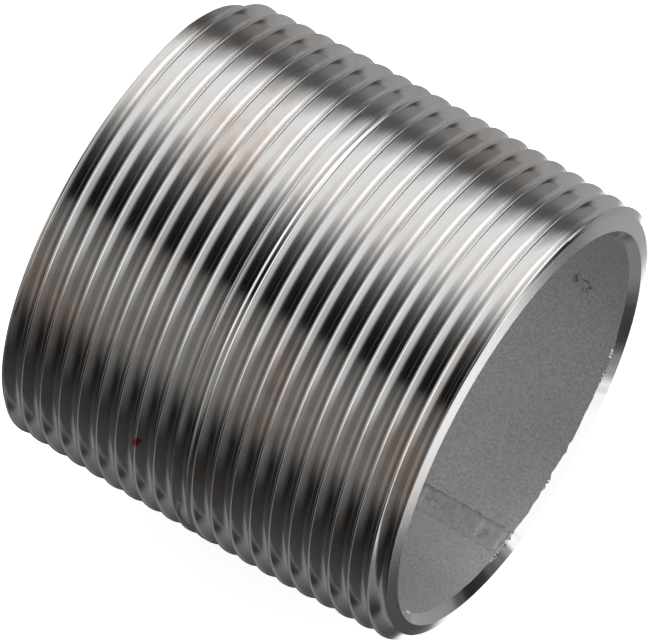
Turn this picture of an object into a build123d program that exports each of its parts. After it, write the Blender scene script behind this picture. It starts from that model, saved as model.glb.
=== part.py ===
from build123d import *

import math
import os

# Close pipe nipple, nominal size 1 1/2: a short length of welded pipe with a right-hand
# taper pipe thread cut from each end until the two runs meet at the middle.
# Frame: +X along the bore, origin on the bore's axis half-way between the two end faces,
# +Z up with the nipple lying on its side. Millimetres and degrees.

# ---- Pipe ----
LENGTH = 44.45              # end face to end face, 1 3/4 inch
OUTSIDE_DIAMETER = 48.26    # nominal 1 1/2 pipe, 1.900 inch
WALL = 3.68                 # Schedule 40 welded pipe, 0.145 inch
END_CHAMFER = 0.8           # outer edge of each end, at 45 degrees
BORE_DEBURR = 0.85          # inner edge of each end, at 45 degrees; not equal to SEAM_DEPTH

# ---- American standard taper pipe thread ----
THREADS_PER_INCH = 11.5
END_DROP_PER_INCH = 0.05        # at the end face the pitch diameter is under the pipe's by this many
END_DROP_CONSTANT = 1.1         # pitches per inch of the pipe's diameter, plus this many pitches
TAPER_ON_RADIUS = 1 / 32        # 1 in 16 on diameter
FLANK_ANGLE = 30                # each flank from square to the axis
DEPTH_IN_PITCHES = 0.8          # crest to root, both truncated
RUN_GAP = 0.2                   # how far out of step the two runs meet at the middle
MEETING_ANGLE = 292             # turn about the bore, from +Y towards +Z, where they meet
RUN_IN_ANGLE = 4                # each run starts this much before the meeting angle
CUTTER_RELIEF = 0.05            # how far the groove cutter stands proud of the crest cone
RUN_OUT_IN_PITCHES = 1.0        # how far the groove runs on past the end face

# ---- Longitudinal weld inside the pipe ----
SEAM_ANGLE = 267.5              # turn about the bore, from +Y towards +Z
SEAM_WIDTH = 3.2
SEAM_DEPTH = 0.6                # into the wall
SEAM_CROWN = 0.15               # into the bore

# ---- Worked out from the sizes above ----
INCH = 25.4
PITCH = INCH / THREADS_PER_INCH
THREAD_DEPTH = DEPTH_IN_PITCHES * PITCH
HALF_LENGTH = LENGTH / 2
PIPE_RADIUS = OUTSIDE_DIAMETER / 2
BORE_RADIUS = PIPE_RADIUS - WALL
END_DROP = (END_DROP_PER_INCH * OUTSIDE_DIAMETER / INCH + END_DROP_CONSTANT) * PITCH
END_PITCH_DIAMETER = OUTSIDE_DIAMETER - END_DROP
CREST_RADIUS_AT_END = END_PITCH_DIAMETER / 2 + THREAD_DEPTH / 2
ROOT_RADIUS_AT_MIDDLE = CREST_RADIUS_AT_END - THREAD_DEPTH + HALF_LENGTH * TAPER_ON_RADIUS
CONE_HALF_ANGLE = math.degrees(math.atan(TAPER_ON_RADIUS))
SHARP_V_IN_PITCHES = 0.5 / math.tan(math.radians(FLANK_ANGLE))
FLAT_WIDTH = (SHARP_V_IN_PITCHES - DEPTH_IN_PITCHES) / 2 / SHARP_V_IN_PITCHES * PITCH

# The model is built about +Z and laid down so that the bore runs along +X.
LAY_DOWN = Plane.YZ.location


def end_cone(radius_at_face, end):
    """45 degree cone that meets one end face (end is 1 or -1) at this radius, narrowing inwards."""
    height = radius_at_face / 2
    cone = Solid.make_cone(radius_at_face - height, radius_at_face, height)
    cone = Pos(0, 0, HALF_LENGTH - height) * cone
    return cone if end > 0 else Rot(X=180) * cone


def pipe_blank():
    """Plain pipe turned down to the two crest cones, with its outer edges chamfered."""
    cylinder_half = HALF_LENGTH - (PIPE_RADIUS - CREST_RADIUS_AT_END) / TAPER_ON_RADIUS
    chamfer_top = CREST_RADIUS_AT_END + END_CHAMFER * TAPER_ON_RADIUS
    outline = [
        (BORE_RADIUS, HALF_LENGTH),
        (chamfer_top - END_CHAMFER, HALF_LENGTH),
        (chamfer_top, HALF_LENGTH - END_CHAMFER),
        (PIPE_RADIUS, cylinder_half),
    ]
    mirrored = [(radius, -height) for radius, height in reversed(outline)]
    with BuildSketch(Plane.XZ) as section:
        with BuildLine():
            Polyline(*outline, *mirrored, close=True)
        make_face()
    return revolve(section.sketch, Axis.Z)


def groove_edge(start, axial_offset, height_over_root, turns):
    """One corner of the thread groove: a right-hand helix on a cone that narrows away from the middle."""
    height = start + axial_offset
    radius = ROOT_RADIUS_AT_MIDDLE + height_over_root - height * TAPER_ON_RADIUS
    slant = 1 / math.cos(math.radians(CONE_HALF_ANGLE))
    return Edge.make_helix(
        pitch=PITCH * slant,
        height=turns * PITCH * slant,
        radius=radius,
        center=(0, 0, height),
        angle=-CONE_HALF_ANGLE,
    )


def groove_turn(start, turns=1):
    """Cutter for one turn of the V groove, whose centre line is start above the middle."""
    cutter_height = THREAD_DEPTH + CUTTER_RELIEF
    root_half = FLAT_WIDTH / 2
    mouth_half = root_half + cutter_height * math.tan(math.radians(FLANK_ANGLE))
    corners = [
        groove_edge(start, -root_half, 0, turns),
        groove_edge(start, root_half, 0, turns),
        groove_edge(start, mouth_half, cutter_height, turns),
        groove_edge(start, -mouth_half, cutter_height, turns),
    ]
    sides = [
        Face.make_surface_from_curves(corners[i], corners[(i + 1) % len(corners)])
        for i in range(len(corners))
    ]
    caps = [Face(Wire.make_polygon([edge @ t for edge in corners], close=True)) for t in (0, 1)]
    return Rot(Z=360 * start / PITCH) * Solid(Shell(sides + caps))


def thread_run():
    """All the turns of one run's groove, from the middle out past the end face, about +Z."""
    first = -PITCH * RUN_IN_ANGLE / 360
    count = math.ceil((HALF_LENGTH - first) / PITCH + RUN_OUT_IN_PITCHES)
    return [groove_turn(first + turn * PITCH) for turn in range(count)]


def seam_weld():
    """Weld bead: a lens section along the bore, cut by the same deburring as the pipe's ends."""
    half_turn = math.degrees(SEAM_WIDTH / 2 / BORE_RADIUS)

    def at(radius, turn):
        angle = math.radians(SEAM_ANGLE + turn)
        return (radius * math.cos(angle), radius * math.sin(angle))

    toe_a, toe_b = at(BORE_RADIUS, -half_turn), at(BORE_RADIUS, half_turn)
    with BuildSketch() as section:
        with BuildLine():
            ThreePointArc(toe_a, at(BORE_RADIUS - SEAM_CROWN, 0), toe_b)
            ThreePointArc(toe_b, at(BORE_RADIUS + SEAM_DEPTH, 0), toe_a)
        make_face()
    bead = extrude(section.sketch, amount=HALF_LENGTH, both=True)
    for end in (1, -1):
        bead -= end_cone(BORE_RADIUS + BORE_DEBURR, end)
    return bead


def nipple_body(bead):
    """Pipe with both thread runs, deburred bore and the weld's recess along the bore."""
    body = pipe_blank()
    for end in (1, -1):
        body -= end_cone(BORE_RADIUS + BORE_DEBURR, end)
    run = thread_run()
    body -= [Rot(Z=MEETING_ANGLE) * turn for turn in run]
    far_side = Pos(0, 0, -RUN_GAP) * Rot(Z=MEETING_ANGLE) * Rot(X=180)
    body -= [far_side * turn for turn in run]
    return body - bead


bead = seam_weld()
parts = {"nipple_body": nipple_body(bead), "seam_weld": bead}

os.makedirs("parts", exist_ok=True)
for node, solid in parts.items():
    export_step(LAY_DOWN * solid, f"parts/{node}.step")
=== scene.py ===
import math

import bmesh
import bpy
import numpy as np
from bpy.props import FloatProperty, FloatVectorProperty, IntProperty, PointerProperty
from mathutils import Matrix, Vector


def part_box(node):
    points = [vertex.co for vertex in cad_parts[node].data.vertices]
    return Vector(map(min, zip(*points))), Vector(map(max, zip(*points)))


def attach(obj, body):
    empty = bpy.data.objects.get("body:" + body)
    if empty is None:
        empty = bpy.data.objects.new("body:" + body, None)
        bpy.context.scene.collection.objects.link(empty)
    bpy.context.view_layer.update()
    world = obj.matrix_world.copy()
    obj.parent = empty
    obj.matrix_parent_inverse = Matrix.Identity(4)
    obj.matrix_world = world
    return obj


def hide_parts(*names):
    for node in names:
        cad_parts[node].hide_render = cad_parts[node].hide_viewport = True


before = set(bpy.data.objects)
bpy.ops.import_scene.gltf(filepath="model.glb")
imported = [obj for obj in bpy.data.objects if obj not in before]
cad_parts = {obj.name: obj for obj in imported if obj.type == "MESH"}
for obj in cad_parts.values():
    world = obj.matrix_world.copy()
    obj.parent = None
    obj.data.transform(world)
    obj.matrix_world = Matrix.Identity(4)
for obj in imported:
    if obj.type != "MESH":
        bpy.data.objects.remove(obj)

bl_info = {
    "name": "Close Pipe Nipple",
    "version": (1, 0, 0),
    "blender": (4, 5, 0),
    "location": "View3D > Sidebar > Nipple",
    "description": "Builds a close pipe nipple with its cut thread, pickled bore and seam weld",
    "category": "Add Mesh",
}

MM = 0.001
BODY_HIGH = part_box("nipple_body")[1]
HALF_LENGTH = BODY_HIGH.x
PIPE_RADIUS = BODY_HIGH.z
WELD_LOW, WELD_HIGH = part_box("seam_weld")
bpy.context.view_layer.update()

FULL_TURN = 2 * math.pi
SEED = 7


# ---------------------------------------------------------------------------
# Sizes and colours that a user would change
# ---------------------------------------------------------------------------

class ThreadSizes(bpy.types.PropertyGroup):
    """Right-hand taper pipe thread, cut from each end until the two runs meet."""
    pitch: FloatProperty(
        name="Pitch", description="Advance of the thread in one turn",
        default=25.4 * MM / 11.5, unit="LENGTH", precision=5)
    flat: FloatProperty(
        name="Flat", description="Width of the flat on each crest",
        default=0.084 * MM, unit="LENGTH", precision=5)
    root_radius: FloatProperty(
        name="Root radius", description="Radius that the tool's worn tip leaves in each root",
        default=0.35 * MM, unit="LENGTH", precision=5)
    hollow: FloatProperty(
        name="Hollow", description="How far each flank is hollowed half-way down",
        default=0.1 * MM, unit="LENGTH", precision=5)
    crest_at_face: FloatProperty(
        name="Crest at face", description="Radius of the crests at the end face",
        default=23.694 * MM, unit="LENGTH", precision=5)
    taper: FloatProperty(
        name="Taper", description="Growth of the radius per length away from the end face",
        default=1 / 32, precision=5)
    meeting_angle: FloatProperty(
        name="Meeting angle", description="Turn from +Y towards +Z where the runs meet",
        default=math.radians(292), subtype="ANGLE")
    drag: FloatProperty(
        name="Drag", description="How far the last groove of the second run is dragged",
        default=0.33 * MM, unit="LENGTH", precision=5)
    drag_lift: FloatProperty(
        name="Drag lift", description="How much shallower that groove is",
        default=0.2 * MM, unit="LENGTH", precision=5)
    end_chamfer: FloatProperty(
        name="End chamfer", description="Width of the 45 degree cut on each outer edge",
        default=0.8 * MM, unit="LENGTH", precision=5)
    face_drop: FloatProperty(
        name="Face drop", description="How far the end face falls away from its inner edge",
        default=0.2 * MM, unit="LENGTH", precision=5)
    columns: IntProperty(
        name="Columns", description="Steps around the nipple", default=320, min=90)


class BoreSizes(bpy.types.PropertyGroup):
    """Inside of the pipe."""
    radius: FloatProperty(
        name="Radius", description="Radius of the bore",
        default=20.45 * MM, unit="LENGTH", precision=5)
    deburr: FloatProperty(
        name="Deburr", description="Width of the 45 degree cut on each inner edge",
        default=0.85 * MM, unit="LENGTH", precision=5)
    weld_angle: FloatProperty(
        name="Weld angle", description="Turn from +Y towards +Z of the seam weld",
        default=math.radians(267.5), subtype="ANGLE")
    weld_width: FloatProperty(
        name="Weld width", description="Width of the seam weld's bead",
        default=WELD_HIGH.y - WELD_LOW.y, unit="LENGTH", precision=5)
    weld_crown: FloatProperty(
        name="Weld crown", description="How far the bead stands into the bore",
        default=0.14 * MM, unit="LENGTH", precision=5)


class SteelFinish(bpy.types.PropertyGroup):
    """Colours of the steel."""
    cut: FloatVectorProperty(
        name="Cut steel", description="Colour of the cut thread",
        default=(0.655, 0.65, 0.645), subtype="COLOR", min=0, max=1)
    stain: FloatVectorProperty(
        name="Stain", description="Colour of the warm smears that coolant leaves on the thread",
        default=(0.585, 0.535, 0.505), subtype="COLOR", min=0, max=1)
    pickled: FloatVectorProperty(
        name="Pickled steel", description="Colour of the matte bore",
        default=(0.635, 0.625, 0.620), subtype="COLOR", min=0, max=1)


class StudioSettings(bpy.types.PropertyGroup):
    """Camera and light."""
    azimuth: FloatProperty(
        name="Azimuth", description="Camera's turn about +Z, 0 looks along +Y",
        default=math.radians(33.68), subtype="ANGLE")
    elevation: FloatProperty(
        name="Elevation", description="Camera's height over the horizon",
        default=math.radians(57.16), subtype="ANGLE")
    distance: FloatProperty(
        name="Distance", description="Camera to the nipple's middle",
        default=1.0, unit="LENGTH")
    view_width: FloatProperty(
        name="View width", description="Width seen at the nipple's middle",
        default=62.5 * MM, unit="LENGTH", precision=5)
    aim_right: FloatProperty(
        name="Aim right", description="How far right of the middle the camera aims",
        default=-0.19 * MM, unit="LENGTH", precision=5)
    aim_down: FloatProperty(
        name="Aim down", description="How far under the middle the camera aims",
        default=0.10 * MM, unit="LENGTH", precision=5)


# ---------------------------------------------------------------------------
# Shader arithmetic
# ---------------------------------------------------------------------------

class Wire:
    """A shader socket that takes part in Python arithmetic; every operator adds a Math node."""

    def __init__(self, graph, socket):
        self.graph, self.socket = graph, socket

    def math(self, operation, *values):
        return self.graph.math(operation, *values)

    def __add__(self, other):
        return self.math("ADD", self, other)

    def __radd__(self, other):
        return self.math("ADD", other, self)

    def __sub__(self, other):
        return self.math("SUBTRACT", self, other)

    def __rsub__(self, other):
        return self.math("SUBTRACT", other, self)

    def __mul__(self, other):
        return self.math("MULTIPLY", self, other)

    def __rmul__(self, other):
        return self.math("MULTIPLY", other, self)

    def __truediv__(self, other):
        return self.math("DIVIDE", self, other)

    def __rtruediv__(self, other):
        return self.math("DIVIDE", other, self)

    def __pow__(self, other):
        return self.math("POWER", self, other)

    def __rpow__(self, other):
        return self.math("POWER", other, self)

    def step(self, low, high):
        """0 under low, 1 over high, and a smooth S between them; high under low turns it round."""
        ends = {"From Min": min(low, high), "From Max": max(low, high)}
        ends["To Min"], ends["To Max"] = (0.0, 1.0) if low < high else (1.0, 0.0)
        return self.graph.add("ShaderNodeMapRange", {"interpolation_type": "SMOOTHSTEP"},
                              {"Value": self, **ends})


class Graph:
    """A node tree, emptied and then filled by add()."""

    def __init__(self, tree):
        self.tree = tree
        tree.nodes.clear()

    def add(self, kind, settings=None, inputs=None, output=0):
        """Adds a node: its settings are set first, then its sockets; returns one output."""
        node = self.tree.nodes.new(kind)
        for name, value in (settings or {}).items():
            if name == "stops":
                self.set_stops(node.color_ramp.elements, value)
            else:
                setattr(node, name, value)
        for name, value in (inputs or {}).items():
            if isinstance(value, Wire):
                self.tree.links.new(value.socket, node.inputs[name])
            else:
                node.inputs[name].default_value = value
        return Wire(self, node.outputs[output]) if len(node.outputs) else node

    @staticmethod
    def set_stops(elements, stops):
        while len(elements) < len(stops):
            elements.new(1.0)
        for element, (position, colour) in zip(elements, stops):
            element.position = position
            element.color = (*colour, 1.0)

    def split(self, vector):
        """The three numbers of a vector."""
        node = self.add("ShaderNodeSeparateXYZ", None, {0: vector}).socket.node
        return [Wire(self, socket) for socket in node.outputs]

    def join(self, x, y, z):
        return self.add("ShaderNodeCombineXYZ", None, {0: x, 1: y, 2: z})

    def math(self, operation, *values):
        return self.add("ShaderNodeMath", {"operation": operation}, dict(enumerate(values)))

    def ramp(self, share, stops):
        return self.add("ShaderNodeValToRGB", {"stops": stops}, {0: share})

    def dot(self, vector, direction):
        return self.add("ShaderNodeVectorMath", {"operation": "DOT_PRODUCT"},
                        {0: vector, 1: direction}, "Value")

    def mix(self, share, a, b, blend="MIX"):
        """Colour a where share is 0, colour b, blended so, where it is 1."""
        settings = {"data_type": "RGBA", "blend_type": blend}
        return self.add("ShaderNodeMix", settings, {0: share, 6: a, 7: b}, 2)

    def scale(self, vector, factor):
        """A vector or colour times a number."""
        return self.add("ShaderNodeVectorMath", {"operation": "SCALE"},
                        {0: vector, "Scale": factor})

    def near(self, vector, point, radius):
        """1 around a point, falling smoothly to 0 at this radius."""
        distance = self.add("ShaderNodeVectorMath", {"operation": "DISTANCE"},
                            {0: vector, 1: point}, "Value")
        return distance.step(radius, 0.4 * radius)

    def noise(self, vector, scale, detail=2.0, rough=0.5):
        return self.add("ShaderNodeTexNoise", None,
                        {"Vector": vector, "Scale": scale, "Detail": detail, "Roughness": rough})

    def place(self):
        """Where a point lies on its piece, in metres."""
        return self.add("ShaderNodeTexCoord", None, None, "Object")

    def bump(self, strength, depth, height):
        """A normal tilted by the slope of height, which is this many metres deep."""
        return self.add("ShaderNodeBump", None,
                        {"Strength": strength, "Distance": depth, "Height": height})


def rgba(colour):
    return (*colour, 1.0)


# ---------------------------------------------------------------------------
# Finishes
# ---------------------------------------------------------------------------

def new_material(name):
    """A node material and the graph that fills it."""
    material = bpy.data.materials.new(name)
    material.use_nodes = True
    return material, Graph(material.node_tree)


def steel_output(graph, colour, rough, normal):
    """Joins a Principled metal to the material's output."""
    shader = graph.add("ShaderNodeBsdfPrincipled", None, {
        "Metallic": 1.0, "Base Color": colour, "Roughness": rough, "Normal": normal})
    graph.add("ShaderNodeOutputMaterial", None, {"Surface": shader})


SMUDGE_PLACE = (-6.0 * MM, -23.5 * MM, 3.8 * MM)    # speck of red marker on the thread
SMUDGE_RADIUS = 0.9 * MM
SMUDGE_COLOUR = (0.60, 0.05, 0.04)
SCRATCH_PLACE = (16.6 * MM, 19.9 * MM, -4.6 * MM)   # dark scratch inside the bore
SCRATCH_RADIUS = 1.7 * MM
SPECK_COLOUR = (0.95, 0.95, 0.95)                   # bright specks on the weld
DARK_EDGE_LOW, DARK_EDGE_HIGH = 0.1 * MM, 1.1 * MM            # the weld's darkening along its +Y edge starts and is full here, in Y


def cut_steel(finish):
    """Machined thread: fine tool lines that follow the helix, smears and warm coolant stains."""
    material, g = new_material("cut_steel")
    helix = g.add("ShaderNodeUVMap", {"uv_map": "helix"})
    along, across, _ = g.split(helix)
    place = g.place()
    fine = g.noise(g.join(along * 7.0, across * 26.0, 0.0), 1.0, 3.0, 0.6)
    chatter = g.noise(g.join(along * 60.0, across * 3.0, 4.0), 1.0, 2.0)
    smear = g.noise(place, 130.0, 3.0, 0.6)
    stain = g.noise(place, 75.0, 4.0, 0.65).step(0.48, 0.66)
    colour = g.mix(stain, rgba(finish.cut), rgba(finish.stain))
    smudge = g.near(place, SMUDGE_PLACE, SMUDGE_RADIUS) * g.noise(place, 2500.0).step(0.35, 0.6)
    colour = g.mix(smudge, colour, rgba(SMUDGE_COLOUR))
    rough = 0.07 + 0.06 * fine + 0.05 * smear
    relief = fine * 0.7 + chatter * 0.3
    steel_output(g, colour, rough, g.bump(0.22, 0.03 * MM, relief))
    return material


def pickled_steel(finish):
    """Matte bore: fine sandy grain and slight cloudiness."""
    material, g = new_material("pickled_steel")
    place = g.place()
    grain = g.noise(place, 4200.0, 2.0, 0.6)
    cloud = g.noise(place, 160.0, 3.0, 0.55)
    wave = g.noise(place, 700.0, 2.0, 0.5)
    thin = g.math("ABSOLUTE", wave - 0.5).step(0.035, 0.01)
    scratch = thin * g.near(place, SCRATCH_PLACE, SCRATCH_RADIUS)
    shade = (0.50 + 0.95 * grain + 0.10 * cloud) * (1 - 0.55 * scratch)
    colour = g.scale(finish.pickled, shade)
    steel_output(g, colour, 0.55 + 0.1 * cloud, g.bump(0.5, 0.04 * MM, grain))
    return material


def faced_steel(finish):
    """End faces, bevels and burrs: bright, with fine turned rings about the bore."""
    material, g = new_material("faced_steel")
    place = g.place()
    _, y, z = g.split(place)
    radius = (y * y + z * z) ** 0.5
    rings = g.noise(g.join(radius * 9000.0, 0.0, 0.0), 1.0, 2.0)
    rough = 0.10 + 0.06 * rings
    steel_output(g, rgba(finish.cut), rough, g.bump(0.15, 0.02 * MM, rings))
    return material


def weld_steel(finish):
    """Seam weld: mottled like the bore, with bright specks, and darker in noisy patches towards its +Y
    edge.
    """
    material, g = new_material("weld_steel")
    place = g.place()
    _, y, _ = g.split(place)
    mottle = g.noise(place, 1700.0, 4.0, 0.7)
    specks = g.noise(place, 2600.0, 1.0).step(0.56, 0.66)
    # darker in noisy patches towards the weld's +Y edge
    dark_edge = y.step(DARK_EDGE_LOW, DARK_EDGE_HIGH) * g.noise(place, 500.0).step(0.25, 0.5)
    shade = (0.40 + 1.15 * mottle) * (1 - 0.42 * dark_edge)
    colour = g.mix(specks * 0.8, g.scale(finish.pickled, shade), rgba(SPECK_COLOUR))
    steel_output(g, colour, 0.55 - 0.25 * specks, g.bump(0.8, 0.08 * MM, mottle))
    return material


# ---------------------------------------------------------------------------
# Surfaces
# ---------------------------------------------------------------------------

SAME_POINT = 1e-8        # metres; vertices nearer than this are merged
ON_PLANE = 1e-7          # metres; a point this near a face counts as on it
PAST_PLANE = 1e-9        # metres; a point further out than this is cut off
PARALLEL = 1e-12         # metres; least change of height that a crossing is worked out from
THREAD, BORE, FACE = 0, 1, 2     # the body's material slots


def ring_points(x, radius, angle):
    """Points at x along the bore, at this radius and this turn from +Y towards +Z."""
    x, radius, angle = np.broadcast_arrays(x, radius, angle)
    return np.stack([x, radius * np.cos(angle), radius * np.sin(angle)], axis=-1)


def quads(index, shift=0):
    """Faces of a grid of vertex numbers [row, column] that closes round its columns; the last
    column joins the first one that many rows further on."""
    after = np.roll(index, -1, axis=1).copy()
    if shift:
        after[:-shift, -1] = index[shift:, 0]
        after[-shift:, -1] = index[-1, 0]
    return np.stack([index[:-1], after[:-1], after[1:], index[1:]], axis=-1).reshape(-1, 4)


def new_piece(name, points, faces, face_material, uv=None, materials=()):
    """Mesh from points and quads; doubled points are merged, faces that have shrunk to nothing
    go, and the rest are turned outwards. uv holds four pairs for each face."""
    mesh = bpy.data.meshes.new(name)
    mesh.from_pydata(points.tolist(), [], faces.tolist())
    for material in materials:
        mesh.materials.append(material)
    mesh.polygons.foreach_set("material_index", np.asarray(face_material, np.int32))
    mesh.polygons.foreach_set("use_smooth", np.ones(len(faces), bool))
    if uv is not None:
        layer = mesh.uv_layers.new(name="helix")
        layer.data.foreach_set("uv", uv.astype(np.float32).ravel())
    work = bmesh.new()
    work.from_mesh(mesh)
    bmesh.ops.remove_doubles(work, verts=work.verts, dist=SAME_POINT)
    bmesh.ops.dissolve_degenerate(work, edges=work.edges, dist=SAME_POINT)
    bmesh.ops.recalc_face_normals(work, faces=work.faces)
    work.to_mesh(mesh)
    work.free()
    piece = bpy.data.objects.new(name, mesh)
    bpy.context.scene.collection.objects.link(piece)
    return piece


CREST_MARGIN = 0.03 * MM         # the crests stay this far inside the pipe's own surface


def crest_radius(x, sizes):
    """The crests' cone: radius at the face plus taper times the distance from the nearer end
    face, but no more than the pipe's."""
    cone = sizes.crest_at_face + (HALF_LENGTH - np.abs(x)) * sizes.taper
    return np.minimum(cone, PIPE_RADIUS - CREST_MARGIN)


def swell(share, rise, fall):
    """Grows smoothly from 0 to 1 over the first share of a turn and falls back over the last."""
    up = np.clip(share / rise, 0, 1)
    down = np.clip((1 - share) / fall, 0, 1)
    return up * up * (3 - 2 * up) * down * down * (3 - 2 * down)


KNOTS = (0.02, 0.15, 0.34, 0.54, 0.73, 0.86)     # places down a flank, as shares of half a pitch
ROWS_PER_TURN = 2 * len(KNOTS) + 1
FLANK_ANGLE = math.radians(30)                   # each flank from square to the axis
DRAG_RISE, DRAG_FALL = 0.55, 0.25                # shares of a turn over which the drag comes and goes


def groove_section(sizes):
    """One groove from its left crest edge to its right one: distance along the axis from the
    groove's centre and height over its root. A 60 degree V, hollowed by a squared sine, whose
    root is an arc that touches both flanks."""
    half = sizes.pitch / 2
    down = np.array(KNOTS) * half
    down[0] = sizes.flat / 2
    down = np.append(down, half)
    to_root = half - down
    flank = -(down - sizes.flat / 2) / math.tan(FLANK_ANGLE)
    reach = sizes.root_radius * math.cos(FLANK_ANGLE)
    touch = -(half - reach - sizes.flat / 2) / math.tan(FLANK_ANGLE)
    centre = touch + sizes.root_radius * math.sin(FLANK_ANGLE)
    arc = centre - np.sqrt(np.maximum(sizes.root_radius ** 2 - to_root ** 2, 0))
    height = np.where(to_root < reach, arc, flank)
    height = height - sizes.hollow * np.sin(math.pi * down / half) ** 2
    height = height - height[-1]
    return np.append(-to_root, to_root[-2::-1]), np.append(height, height[-2::-1])


def thread_grid(sizes):
    """Rows and columns of the cut thread. Column angle t and groove number k: the groove's
    centre is at x = pitch * (t / turn + k), and its rows run down one flank and up the other.
    Where the dragged groove would overlap its neighbour, its points stop at the neighbour's edge.
    Returns x, radius, angle, turns along the helix and share across the groove."""
    share = np.arange(sizes.columns) / sizes.columns
    reach = math.ceil(HALF_LENGTH / sizes.pitch) + 1
    grooves = np.arange(-reach, reach)
    offset, height = groove_section(sizes)
    depth = height[0]
    dragged = (grooves == -1)[:, None] * swell(share, DRAG_RISE, DRAG_FALL)[None, :]
    centre = sizes.pitch * (share[None, :] + grooves[:, None]) - sizes.drag * dragged
    size = 1 - sizes.drag_lift / depth * dragged
    x = centre[:, None, :] + offset[None, :, None] * size[:, None, :]
    radius = crest_radius(x, sizes) - (depth - height[None, :, None]) * size[:, None, :]
    turns = np.broadcast_to((share[None, :] + grooves[:, None])[:, None, :], x.shape)
    across = np.broadcast_to((np.arange(ROWS_PER_TURN) / ROWS_PER_TURN)[None, :, None], x.shape)
    angle = np.broadcast_to(sizes.meeting_angle + FULL_TURN * share, x.shape)
    x, radius, angle, turns, across = (
        grid.reshape(-1, sizes.columns) for grid in (x, radius, angle, turns, across))
    return np.maximum.accumulate(x, axis=0), radius, angle, turns, across


def cut_ends(x, radius, sizes):
    """Cuts the thread's outline, column by column, by the 45 degree chamfer and then by the end
    face. The first point past a cut moves to the crossing, so that the edge is exact."""
    face_radius = sizes.crest_at_face + sizes.end_chamfer * (sizes.taper - 1)

    def past_chamfer(end):
        return radius - (face_radius + HALF_LENGTH - end * x)

    for end in (1, -1):
        x, radius = pull_to_cut(x, radius, past_chamfer(end))
        radius = radius - np.maximum(past_chamfer(end), 0)
    face = HALF_LENGTH - sizes.face_drop
    for end in (1, -1):
        x, radius = pull_to_cut(x, radius, end * x - face)
        outside = end * x - face > PAST_PLANE
        kept = ~outside[::-1] if end > 0 else ~outside
        last = np.argmax(kept, axis=0)
        last = radius.shape[0] - 1 - last if end > 0 else last
        rim = np.take_along_axis(radius, last[None, :], axis=0)
        radius = np.where(outside, rim, radius)
        x = np.where(outside, end * face, x)
    return x, radius


def pull_to_cut(x, radius, over):
    """Moves each point that is over a cut, and next to one that isn't, to where the line
    between the two crosses it. over is how far each point stands past the cut."""
    new_x, new_radius = x.copy(), radius.copy()
    for step in (1, -1):
        near = np.roll(over, step, axis=0)
        change = over - near
        share = over / np.where(np.abs(change) < PARALLEL, PARALLEL, change)
        moved = (over > 0) & (near <= 0)
        moved[0 if step > 0 else -1] = False
        near_x, near_radius = np.roll(x, step, axis=0), np.roll(radius, step, axis=0)
        new_x = np.where(moved, x + (near_x - x) * share, new_x)
        new_radius = np.where(moved, radius + (near_radius - radius) * share, new_radius)
    return new_x, new_radius


TORN_EDGE = math.radians(291)      # middle of the torn stretch, from +Y towards +Z
TORN_SPREAD = math.radians(19)     # turn from there over which the tearing falls to 1 / e
RAGGED_WIDTH = 0.02 * MM           # unevenness all round
TORN_WIDTH = 0.11 * MM             # and what the torn stretch adds to it


def around(angle, middle):
    """Turn from this middle, -180 to 180 degrees."""
    return (angle - middle + math.pi) % FULL_TURN - math.pi


def bevel_width(angle, bore):
    """Width of the bore's bevel at each turn: the deburr plus random raggedness, which is
    stronger by a bell curve over the stretch beside the weld where the tool tore the edge."""
    random = np.random.default_rng(SEED)
    rough = random.uniform(-1, 1, angle.size) + random.uniform(-1, 1, angle.size)
    rough = (rough + np.roll(rough, 1)) / 2
    torn = np.exp(-(around(angle, TORN_EDGE) / TORN_SPREAD) ** 2)
    return bore.deburr + (RAGGED_WIDTH + TORN_WIDTH * torn) * rough


BEVEL_MARGIN = 0.15 * MM         # a bevel's inner edge lies no further than this outside the bore


def crease_ends(mesh, sizes, bore):
    """Marks the edges of the end faces and of the bevels sharp."""
    points = np.empty(len(mesh.vertices) * 3)
    mesh.vertices.foreach_get("co", points)
    points = points.reshape(-1, 3)
    ends = np.empty(len(mesh.edges) * 2, np.int32)
    mesh.edges.foreach_get("vertices", ends)
    along, radius = np.abs(points[:, 0]), np.hypot(points[:, 1], points[:, 2])
    outer_rim = np.abs(along - HALF_LENGTH + sizes.face_drop) < ON_PLANE
    on_face = (along > HALF_LENGTH - ON_PLANE) | outer_rim
    on_bevel = (along > HALF_LENGTH - 2 * bore.deburr) & (radius < bore.radius + BEVEL_MARGIN)
    pair = ends.reshape(-1, 2)
    sharp = on_face[pair].all(axis=1) | on_bevel[pair].all(axis=1)
    mesh.edges.foreach_set("use_edge_sharp", sharp)


BORE_RINGS = 13                  # rings of points along the bore
WELD_DIP = 0.03 * MM             # the bore's skin dips this far under the weld
WELD_DIP_SPREAD = 0.45           # width of that dip, as a share of the weld's


def unwrapped(corners):
    """Corner values of faces, with those that started again from 0 carried on past 1."""
    return np.where(corners - corners[:, :1] < -0.5, corners + 1, corners)


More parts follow.
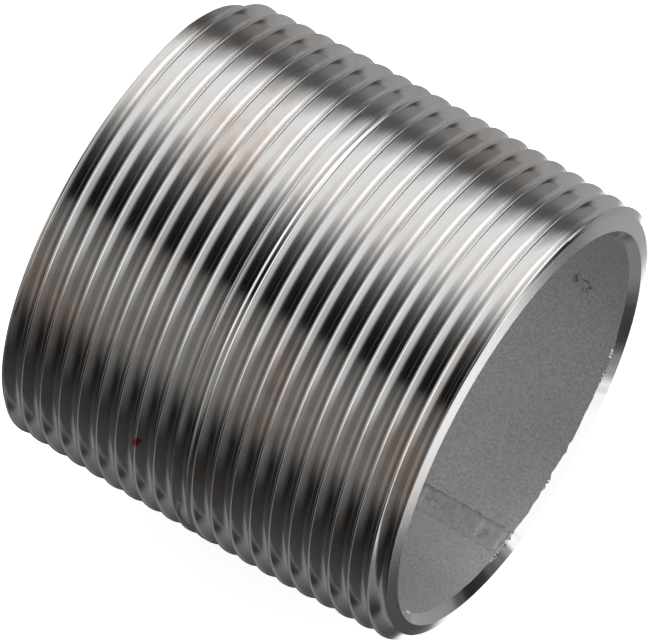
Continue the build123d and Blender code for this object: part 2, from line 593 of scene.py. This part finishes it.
def build_body(sizes, bore, finish):
    """One closed skin: cut thread, end faces, deburred edges and bore. The bore's radius is
    its own plus a bell curve about the weld."""
    x, radius, angle, turns, across = thread_grid(sizes)
    x, radius = cut_ends(x, radius, sizes)
    rows, columns = x.shape
    outer = np.arange(rows * columns).reshape(rows, columns)
    outer_faces = quads(outer, ROWS_PER_TURN)
    column_angle = angle[0]
    steps = np.linspace(1, -1, BORE_RINGS)
    width = bevel_width(column_angle, bore)
    inside = HALF_LENGTH - width
    dip_turn = WELD_DIP_SPREAD * bore.weld_width / bore.radius
    weld = np.exp(-(around(column_angle, bore.weld_angle) / dip_turn) ** 2)
    bore_radius = bore.radius + WELD_DIP * weld
    face_edge = np.full(columns, bore.radius + bore.deburr)
    face_x = np.full(columns, HALF_LENGTH)
    inner_x = [face_x, *(inside * step for step in steps), -face_x]
    inner_radius = [face_edge, *(bore_radius for _ in steps), face_edge]
    inner_x = np.array([x[-1], *inner_x, x[0]])
    inner_radius = np.array([radius[-1], *inner_radius, radius[0]])
    inner_points = ring_points(inner_x, inner_radius, column_angle[None, :])
    inner = rows * columns + np.arange(inner_x.size).reshape(inner_x.shape)
    inner_faces = quads(inner)
    points = np.concatenate([ring_points(x, radius, angle).reshape(-1, 3),
                             inner_points.reshape(-1, 3)])
    faces = np.concatenate([outer_faces, inner_faces])
    band = np.full(inner_x.shape[0] - 1, BORE)
    band[[0, 1, -2, -1]] = FACE
    kinds = np.concatenate([np.full(len(outer_faces), THREAD), np.repeat(band, columns)])
    uv = np.zeros((len(faces), 4, 2))
    uv[:len(outer_faces), :, 0] = unwrapped(turns.ravel()[outer_faces])
    uv[:len(outer_faces), :, 1] = unwrapped(across.ravel()[outer_faces])
    materials = [cut_steel(finish), pickled_steel(finish), faced_steel(finish)]
    piece = new_piece("threaded_body", points, faces, kinds, uv, materials)
    crease_ends(piece.data, sizes, bore)
    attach(piece, "root")
    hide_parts("nipple_body")
    return piece


# Burrs on the front bore edge: first and last turn in degrees, height and lean in millimetres.
BURRS = (
    (319.0, 336.0, 0.42, 0.30),
    (259.0, 271.0, 0.50, 0.35),
    (81.0, 86.5, 0.25, 0.45),
    (204.0, 214.0, 0.16, 0.20),
    (286.0, 291.0, 0.22, 0.20),
)
BURR_STEPS = 4                   # points along a burr for each degree
BURR_ROOT = 0.12 * MM            # half the width of a burr where it stands highest


def build_burrs(bore, finish):
    """Ragged burrs on the front bore edge. Each is a three-sided strip along the edge: two
    lines at its root and a tip line whose random height and lean shrink to nothing at the ends."""
    random = np.random.default_rng(SEED + 1)
    points, faces, count = [], [], 0
    for first, last, height, lean in BURRS:
        share = np.linspace(0, 1, int((last - first) * BURR_STEPS))
        size = np.sqrt(np.sin(math.pi * share)).clip(0, 1) * random.uniform(0.25, 1, share.size)
        size[[0, -1]] = 0
        angle = np.radians(first + (last - first) * share)
        edge = HALF_LENGTH - bore.deburr
        root = BURR_ROOT * size
        tip = -height * MM * size * random.uniform(-0.3, 1, share.size)
        x = np.stack([edge - root, edge + root, edge + lean * MM * size], axis=-1)
        rise = np.stack([0 * root, root, tip], axis=-1)
        strip = ring_points(x, bore.radius + rise, angle[:, None])
        index = count + np.arange(share.size * 3).reshape(share.size, 3)
        points.append(strip.reshape(-1, 3))
        faces.append(quads(index))
        count += index.size
    faces = np.concatenate(faces)
    piece = new_piece("edge_burrs", np.concatenate(points), faces, np.zeros(len(faces), int),
                      None, [faced_steel(finish)])
    piece.data.polygons.foreach_set("use_smooth", np.zeros(len(piece.data.polygons), bool))
    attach(piece, "root")
    return piece


WELD_RINGS = 181                 # sections along the weld
WELD_POINTS = 17                 # points across its crown
WELD_OVERRUN = 0.05 * MM         # the weld runs this far on into each bevel
WELD_SINK = 0.015 * MM           # its edges lie this far under the bore's radius
WELD_ROOT = 0.5 * MM             # its hidden underside's depth
LOW_RIPPLE, HIGH_RIPPLE = 0.5, 1.5       # limits of the crown's ripple


def waves(along, *sines):
    """1 plus a sum of sines, each given by its size, its turns in radians per metre and its
    phase."""
    return 1 + sum(size * np.sin(along * rate + phase) for size, rate, phase in sines)


def build_weld(bore, finish):
    """Seam weld: a lens section carried along the bore. u runs across it from -1 to 1; the
    crown and the underside are 1 - u squared, the crown times a ripple and the width times a
    wander, both sums of sines along the bore."""
    along = np.linspace(-1, 1, WELD_RINGS) * (HALF_LENGTH - bore.deburr + WELD_OVERRUN)
    top_u = np.linspace(-1, 1, WELD_POINTS)
    u = np.concatenate([top_u, top_u[-2:0:-1]])
    is_top = np.arange(len(u)) < WELD_POINTS
    ripple = waves(along, (0.25, 2600, 0), (0.2, 1130, 1), (0.2, 5300, 0))
    ripple = np.clip(ripple, LOW_RIPPLE, HIGH_RIPPLE) / HIGH_RIPPLE
    wander = waves(along, (0.02, 900, 0), (0.05, 4300, 2))
    lens = (1 - u ** 2)[None, :]
    crown = bore.weld_crown * lens * ripple[:, None]
    radius = bore.radius + WELD_SINK - np.where(is_top[None, :], crown, -WELD_ROOT * lens)
    angle = bore.weld_angle + u[None, :] * wander[:, None] * bore.weld_width / 2 / bore.radius
    points = ring_points(along[:, None], radius, angle)
    index = np.arange(points.shape[0] * points.shape[1]).reshape(points.shape[:2])
    faces = quads(index)
    ends = []
    for row in (index[0], index[-1]):
        upper = row[:WELD_POINTS]
        lower = np.concatenate([upper[:1], row[WELD_POINTS:][::-1], upper[-1:]])
        ends.append(np.stack([upper[:-1], upper[1:], lower[1:], lower[:-1]], axis=-1))
    faces = np.concatenate([faces, *ends])
    piece = new_piece("weld_bead", points.reshape(-1, 3), faces, np.zeros(len(faces), int),
                      None, [weld_steel(finish)])
    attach(piece, "root")
    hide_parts("seam_weld")
    return piece


# ---------------------------------------------------------------------------
# Studio
# ---------------------------------------------------------------------------

def camera_axes(studio):
    """Unit vectors from the nipple to the camera, to the picture's right and to its top."""
    a, e = studio.azimuth, studio.elevation
    back = Vector((math.sin(a) * math.cos(e), -math.cos(a) * math.cos(e), math.sin(e)))
    right = Vector((math.cos(a), math.sin(a), 0))
    return back, right, back.cross(right)


SENSOR_WIDTH = 36.0              # millimetres
CLIP_NEAR, CLIP_FAR = 0.01, 20.0


def build_camera(studio):
    """Camera that sees the view's width at its distance, looking straight at the aim."""
    back, right, up = camera_axes(studio)
    data = bpy.data.cameras.new("camera")
    data.sensor_width = SENSOR_WIDTH
    data.lens = SENSOR_WIDTH * studio.distance / studio.view_width
    data.clip_start, data.clip_end = CLIP_NEAR, CLIP_FAR
    camera = bpy.data.objects.new("camera", data)
    camera.location = right * studio.aim_right - up * studio.aim_down + back * studio.distance
    camera.matrix_world = Matrix.Translation(camera.location) @ Matrix(
        (right, up, back)).transposed().to_4x4()
    bpy.context.scene.collection.objects.link(camera)
    bpy.context.scene.camera = camera


def grey(value, warm=0.0):
    """Linear light of this strength; warm over 0 leans to red, under 0 to blue."""
    return (value * (1 + warm), value, value * (1 - warm))


LIGHT_TURN = math.radians(118.2)     # middle of the light, from +Y towards +Z
WHITE_LEVEL = 1.5                    # light of the white cards
PANEL_WARMTH = -0.012


def by_degrees(*stops):
    """Ramp stops from turns in degrees, -180 to 180, and greys with their warmth."""
    return [(degrees / 360 + 0.5, grey(value, warm)) for degrees, value, warm in stops]


def by_half_turn(*stops):
    """Ramp stops from degrees off the middle of the light towards the back end, and greys."""
    return [(degrees / 180, grey(value, PANEL_WARMTH)) for degrees, value in stops]


def by_height(*stops):
    """Ramp stops from a direction's share across the light, -1 to 1, and how much passes."""
    return [(share / 2 + 0.5, grey(value)) for share, value in stops]


def build_light():
    """Studio all round the nipple, given by direction: strips that run along the bore, a panel
    past the back end, and white cards past the front end. front and down are a direction's
    shares towards the middle of the light and across it."""
    world = bpy.data.worlds.new("studio")
    bpy.context.scene.world = world
    world.use_nodes = True
    g = Graph(world.node_tree)
    direction = g.add("ShaderNodeTexCoord", None, None, "Generated")
    x, _, _ = g.split(direction)
    front = g.dot(direction, (0.0, math.cos(LIGHT_TURN), math.sin(LIGHT_TURN)))
    down = g.dot(direction, (0.0, -math.sin(LIGHT_TURN), math.cos(LIGHT_TURN)))
    turn = g.math("ARCTAN2", down, front)
    strips = g.ramp(turn / FULL_TURN + 0.5, by_degrees(
        (-180, 0.45, 0), (-130, 0.38, 0), (-121, 0.16, 0), (-112, 0.16, 0), (-103, 0.90, 0.01),
        (-85, 1.50, 0.02), (-73, 1.60, 0.03), (-62, 1.48, 0.03), (-52, 1.30, 0.02),
        (-42, 0.75, 0.01), (-32, 0.32, 0), (-24, 0.12, 0), (-16, 0.05, 0), (-9, 0.012, 0),
        (7, 0.004, 0), (11, 0.16, 0.05), (20, 0.23, 0.05), (34, 0.33, 0.05), (60, 0.28, 0.07),
        (72, 0.08, 0.05), (79, 0.012, 0), (92, 0.025, 0), (105, 0.055, 0), (118, 0.08, 0),
        (130, 0.28, 0), (155, 0.26, 0), (164, 0.08, 0), (180, 0.08, 0)))
    strips = g.scale(strips, 1 - 0.85 * x.step(0.45, 0.62) * down.step(-0.1, -0.4))
    beneath = x.step(0.15, -0.05) * front.step(-0.4, -0.6) * down.step(0.2, 0.4)
    strips = g.scale(strips, 1 - 0.6 * beneath)
    side = g.math("ARCTAN2", 0 - x, front)
    panel = g.ramp(side / math.pi, by_half_turn(
        (0, 0), (17, 0), (27, 0.05), (33, 0.13), (39, 0.42), (44, 1.05), (48, 1.3), (54, 1.7)))
    reach = g.ramp(down / 2 + 0.5, by_height(
        (-0.23, 1.0), (-0.08, 0.76), (0.08, 0.73), (0.23, 0.82), (0.30, 0.80), (0.42, 0.50),
        (0.52, 0.33), (0.76, 0.21), (0.89, 0.065), (1.0, 0.0)))
    panel = g.scale(g.mix(1.0, panel, reach, "MULTIPLY"), front.step(-0.35, 0.0))
    light = g.mix(1.0, strips, panel, "LIGHTEN")
    behind = front.step(-0.70, -0.82)
    gap = behind * x.step(0.37, 0.41) * x.step(0.70, 0.60)
    light = g.scale(light, 1 - 0.9 * gap)
    level = down.step(-0.30, -0.20) * down.step(0.30, 0.20)
    card = behind * x.step(0.452, 0.470) * level
    card = card + x.step(0.135, 0.10) * front.step(-0.972, -0.985)
    white = x.step(0.68, 0.79) * down.step(-0.60, -0.54) * down.step(0.62, 0.30)
    light = g.mix(g.math("MAXIMUM", card, white), light, rgba(grey(WHITE_LEVEL)))
    background = g.add("ShaderNodeBackground", None, {"Color": light, "Strength": 1.0})
    g.add("ShaderNodeOutputWorld", None, {"Surface": background})


FLOOR_HALF_WIDTH = 12.0
FLOOR_GREY = 0.9
FLOOR_GLOW = 0.8


def build_floor():
    """Large pale square under the nipple, seen but not mirrored in the steel."""
    mesh = bpy.data.meshes.new("floor")
    corners = [(-1, -1), (1, -1), (1, 1), (-1, 1)]
    mesh.from_pydata([(FLOOR_HALF_WIDTH * x, FLOOR_HALF_WIDTH * y, -PIPE_RADIUS) for x, y in corners],
                     [], [(0, 1, 2, 3)])
    material, g = new_material("floor")
    shader = g.add("ShaderNodeBsdfPrincipled", None, {
        "Base Color": rgba(grey(FLOOR_GREY)), "Roughness": 0.9,
        "Emission Color": rgba(grey(1.0)), "Emission Strength": FLOOR_GLOW})
    g.add("ShaderNodeOutputMaterial", None, {"Surface": shader})
    mesh.materials.append(material)
    floor = bpy.data.objects.new("floor", mesh)
    bpy.context.scene.collection.objects.link(floor)
    floor.visible_glossy = False
    floor.visible_diffuse = False


# ---------------------------------------------------------------------------
# Operators and panel
# ---------------------------------------------------------------------------

class NIPPLE_OT_body(bpy.types.Operator):
    """Builds the threaded pipe: cut thread, end faces and bore"""
    bl_idname = "nipple.body"
    bl_label = "Threaded Body"

    def execute(self, context):
        scene = context.scene
        build_body(scene.nipple_thread, scene.nipple_bore, scene.nipple_finish)
        return {"FINISHED"}


class NIPPLE_OT_weld(bpy.types.Operator):
    """Builds the seam weld along the bore"""
    bl_idname = "nipple.weld"
    bl_label = "Seam Weld"

    def execute(self, context):
        scene = context.scene
        build_weld(scene.nipple_bore, scene.nipple_finish)
        return {"FINISHED"}


class NIPPLE_OT_burrs(bpy.types.Operator):
    """Builds the burrs on the front bore edge"""
    bl_idname = "nipple.burrs"
    bl_label = "Edge Burrs"

    def execute(self, context):
        scene = context.scene
        build_burrs(scene.nipple_bore, scene.nipple_finish)
        return {"FINISHED"}


class NIPPLE_OT_studio(bpy.types.Operator):
    """Builds the camera, the light and the floor"""
    bl_idname = "nipple.studio"
    bl_label = "Studio"

    def execute(self, context):
        context.scene.view_settings.view_transform = "Standard"
        build_camera(context.scene.nipple_studio)
        build_light()
        build_floor()
        return {"FINISHED"}


class NIPPLE_PT_panel(bpy.types.Panel):
    """Lists the steps in the 3D view's sidebar"""
    bl_label = "Pipe Nipple"
    bl_idname = "NIPPLE_PT_panel"
    bl_space_type = "VIEW_3D"
    bl_region_type = "UI"
    bl_category = "Nipple"

    def draw(self, context):
        for operator in OPERATORS:
            self.layout.operator(operator.bl_idname)


GROUPS = {
    "nipple_thread": ThreadSizes,
    "nipple_bore": BoreSizes,
    "nipple_finish": SteelFinish,
    "nipple_studio": StudioSettings,
}
OPERATORS = (NIPPLE_OT_body, NIPPLE_OT_weld, NIPPLE_OT_burrs, NIPPLE_OT_studio)
CLASSES = (*GROUPS.values(), *OPERATORS, NIPPLE_PT_panel)


def register():
    for cls in CLASSES:
        bpy.utils.register_class(cls)
    for name, group in GROUPS.items():
        setattr(bpy.types.Scene, name, PointerProperty(type=group))


def unregister():
    for name in GROUPS:
        delattr(bpy.types.Scene, name)
    for cls in reversed(CLASSES):
        bpy.utils.unregister_class(cls)


def main():
    register()
    bpy.ops.nipple.body()
    bpy.ops.nipple.weld()
    bpy.ops.nipple.burrs()
    bpy.ops.nipple.studio()


if __name__ == "__main__":
    main()
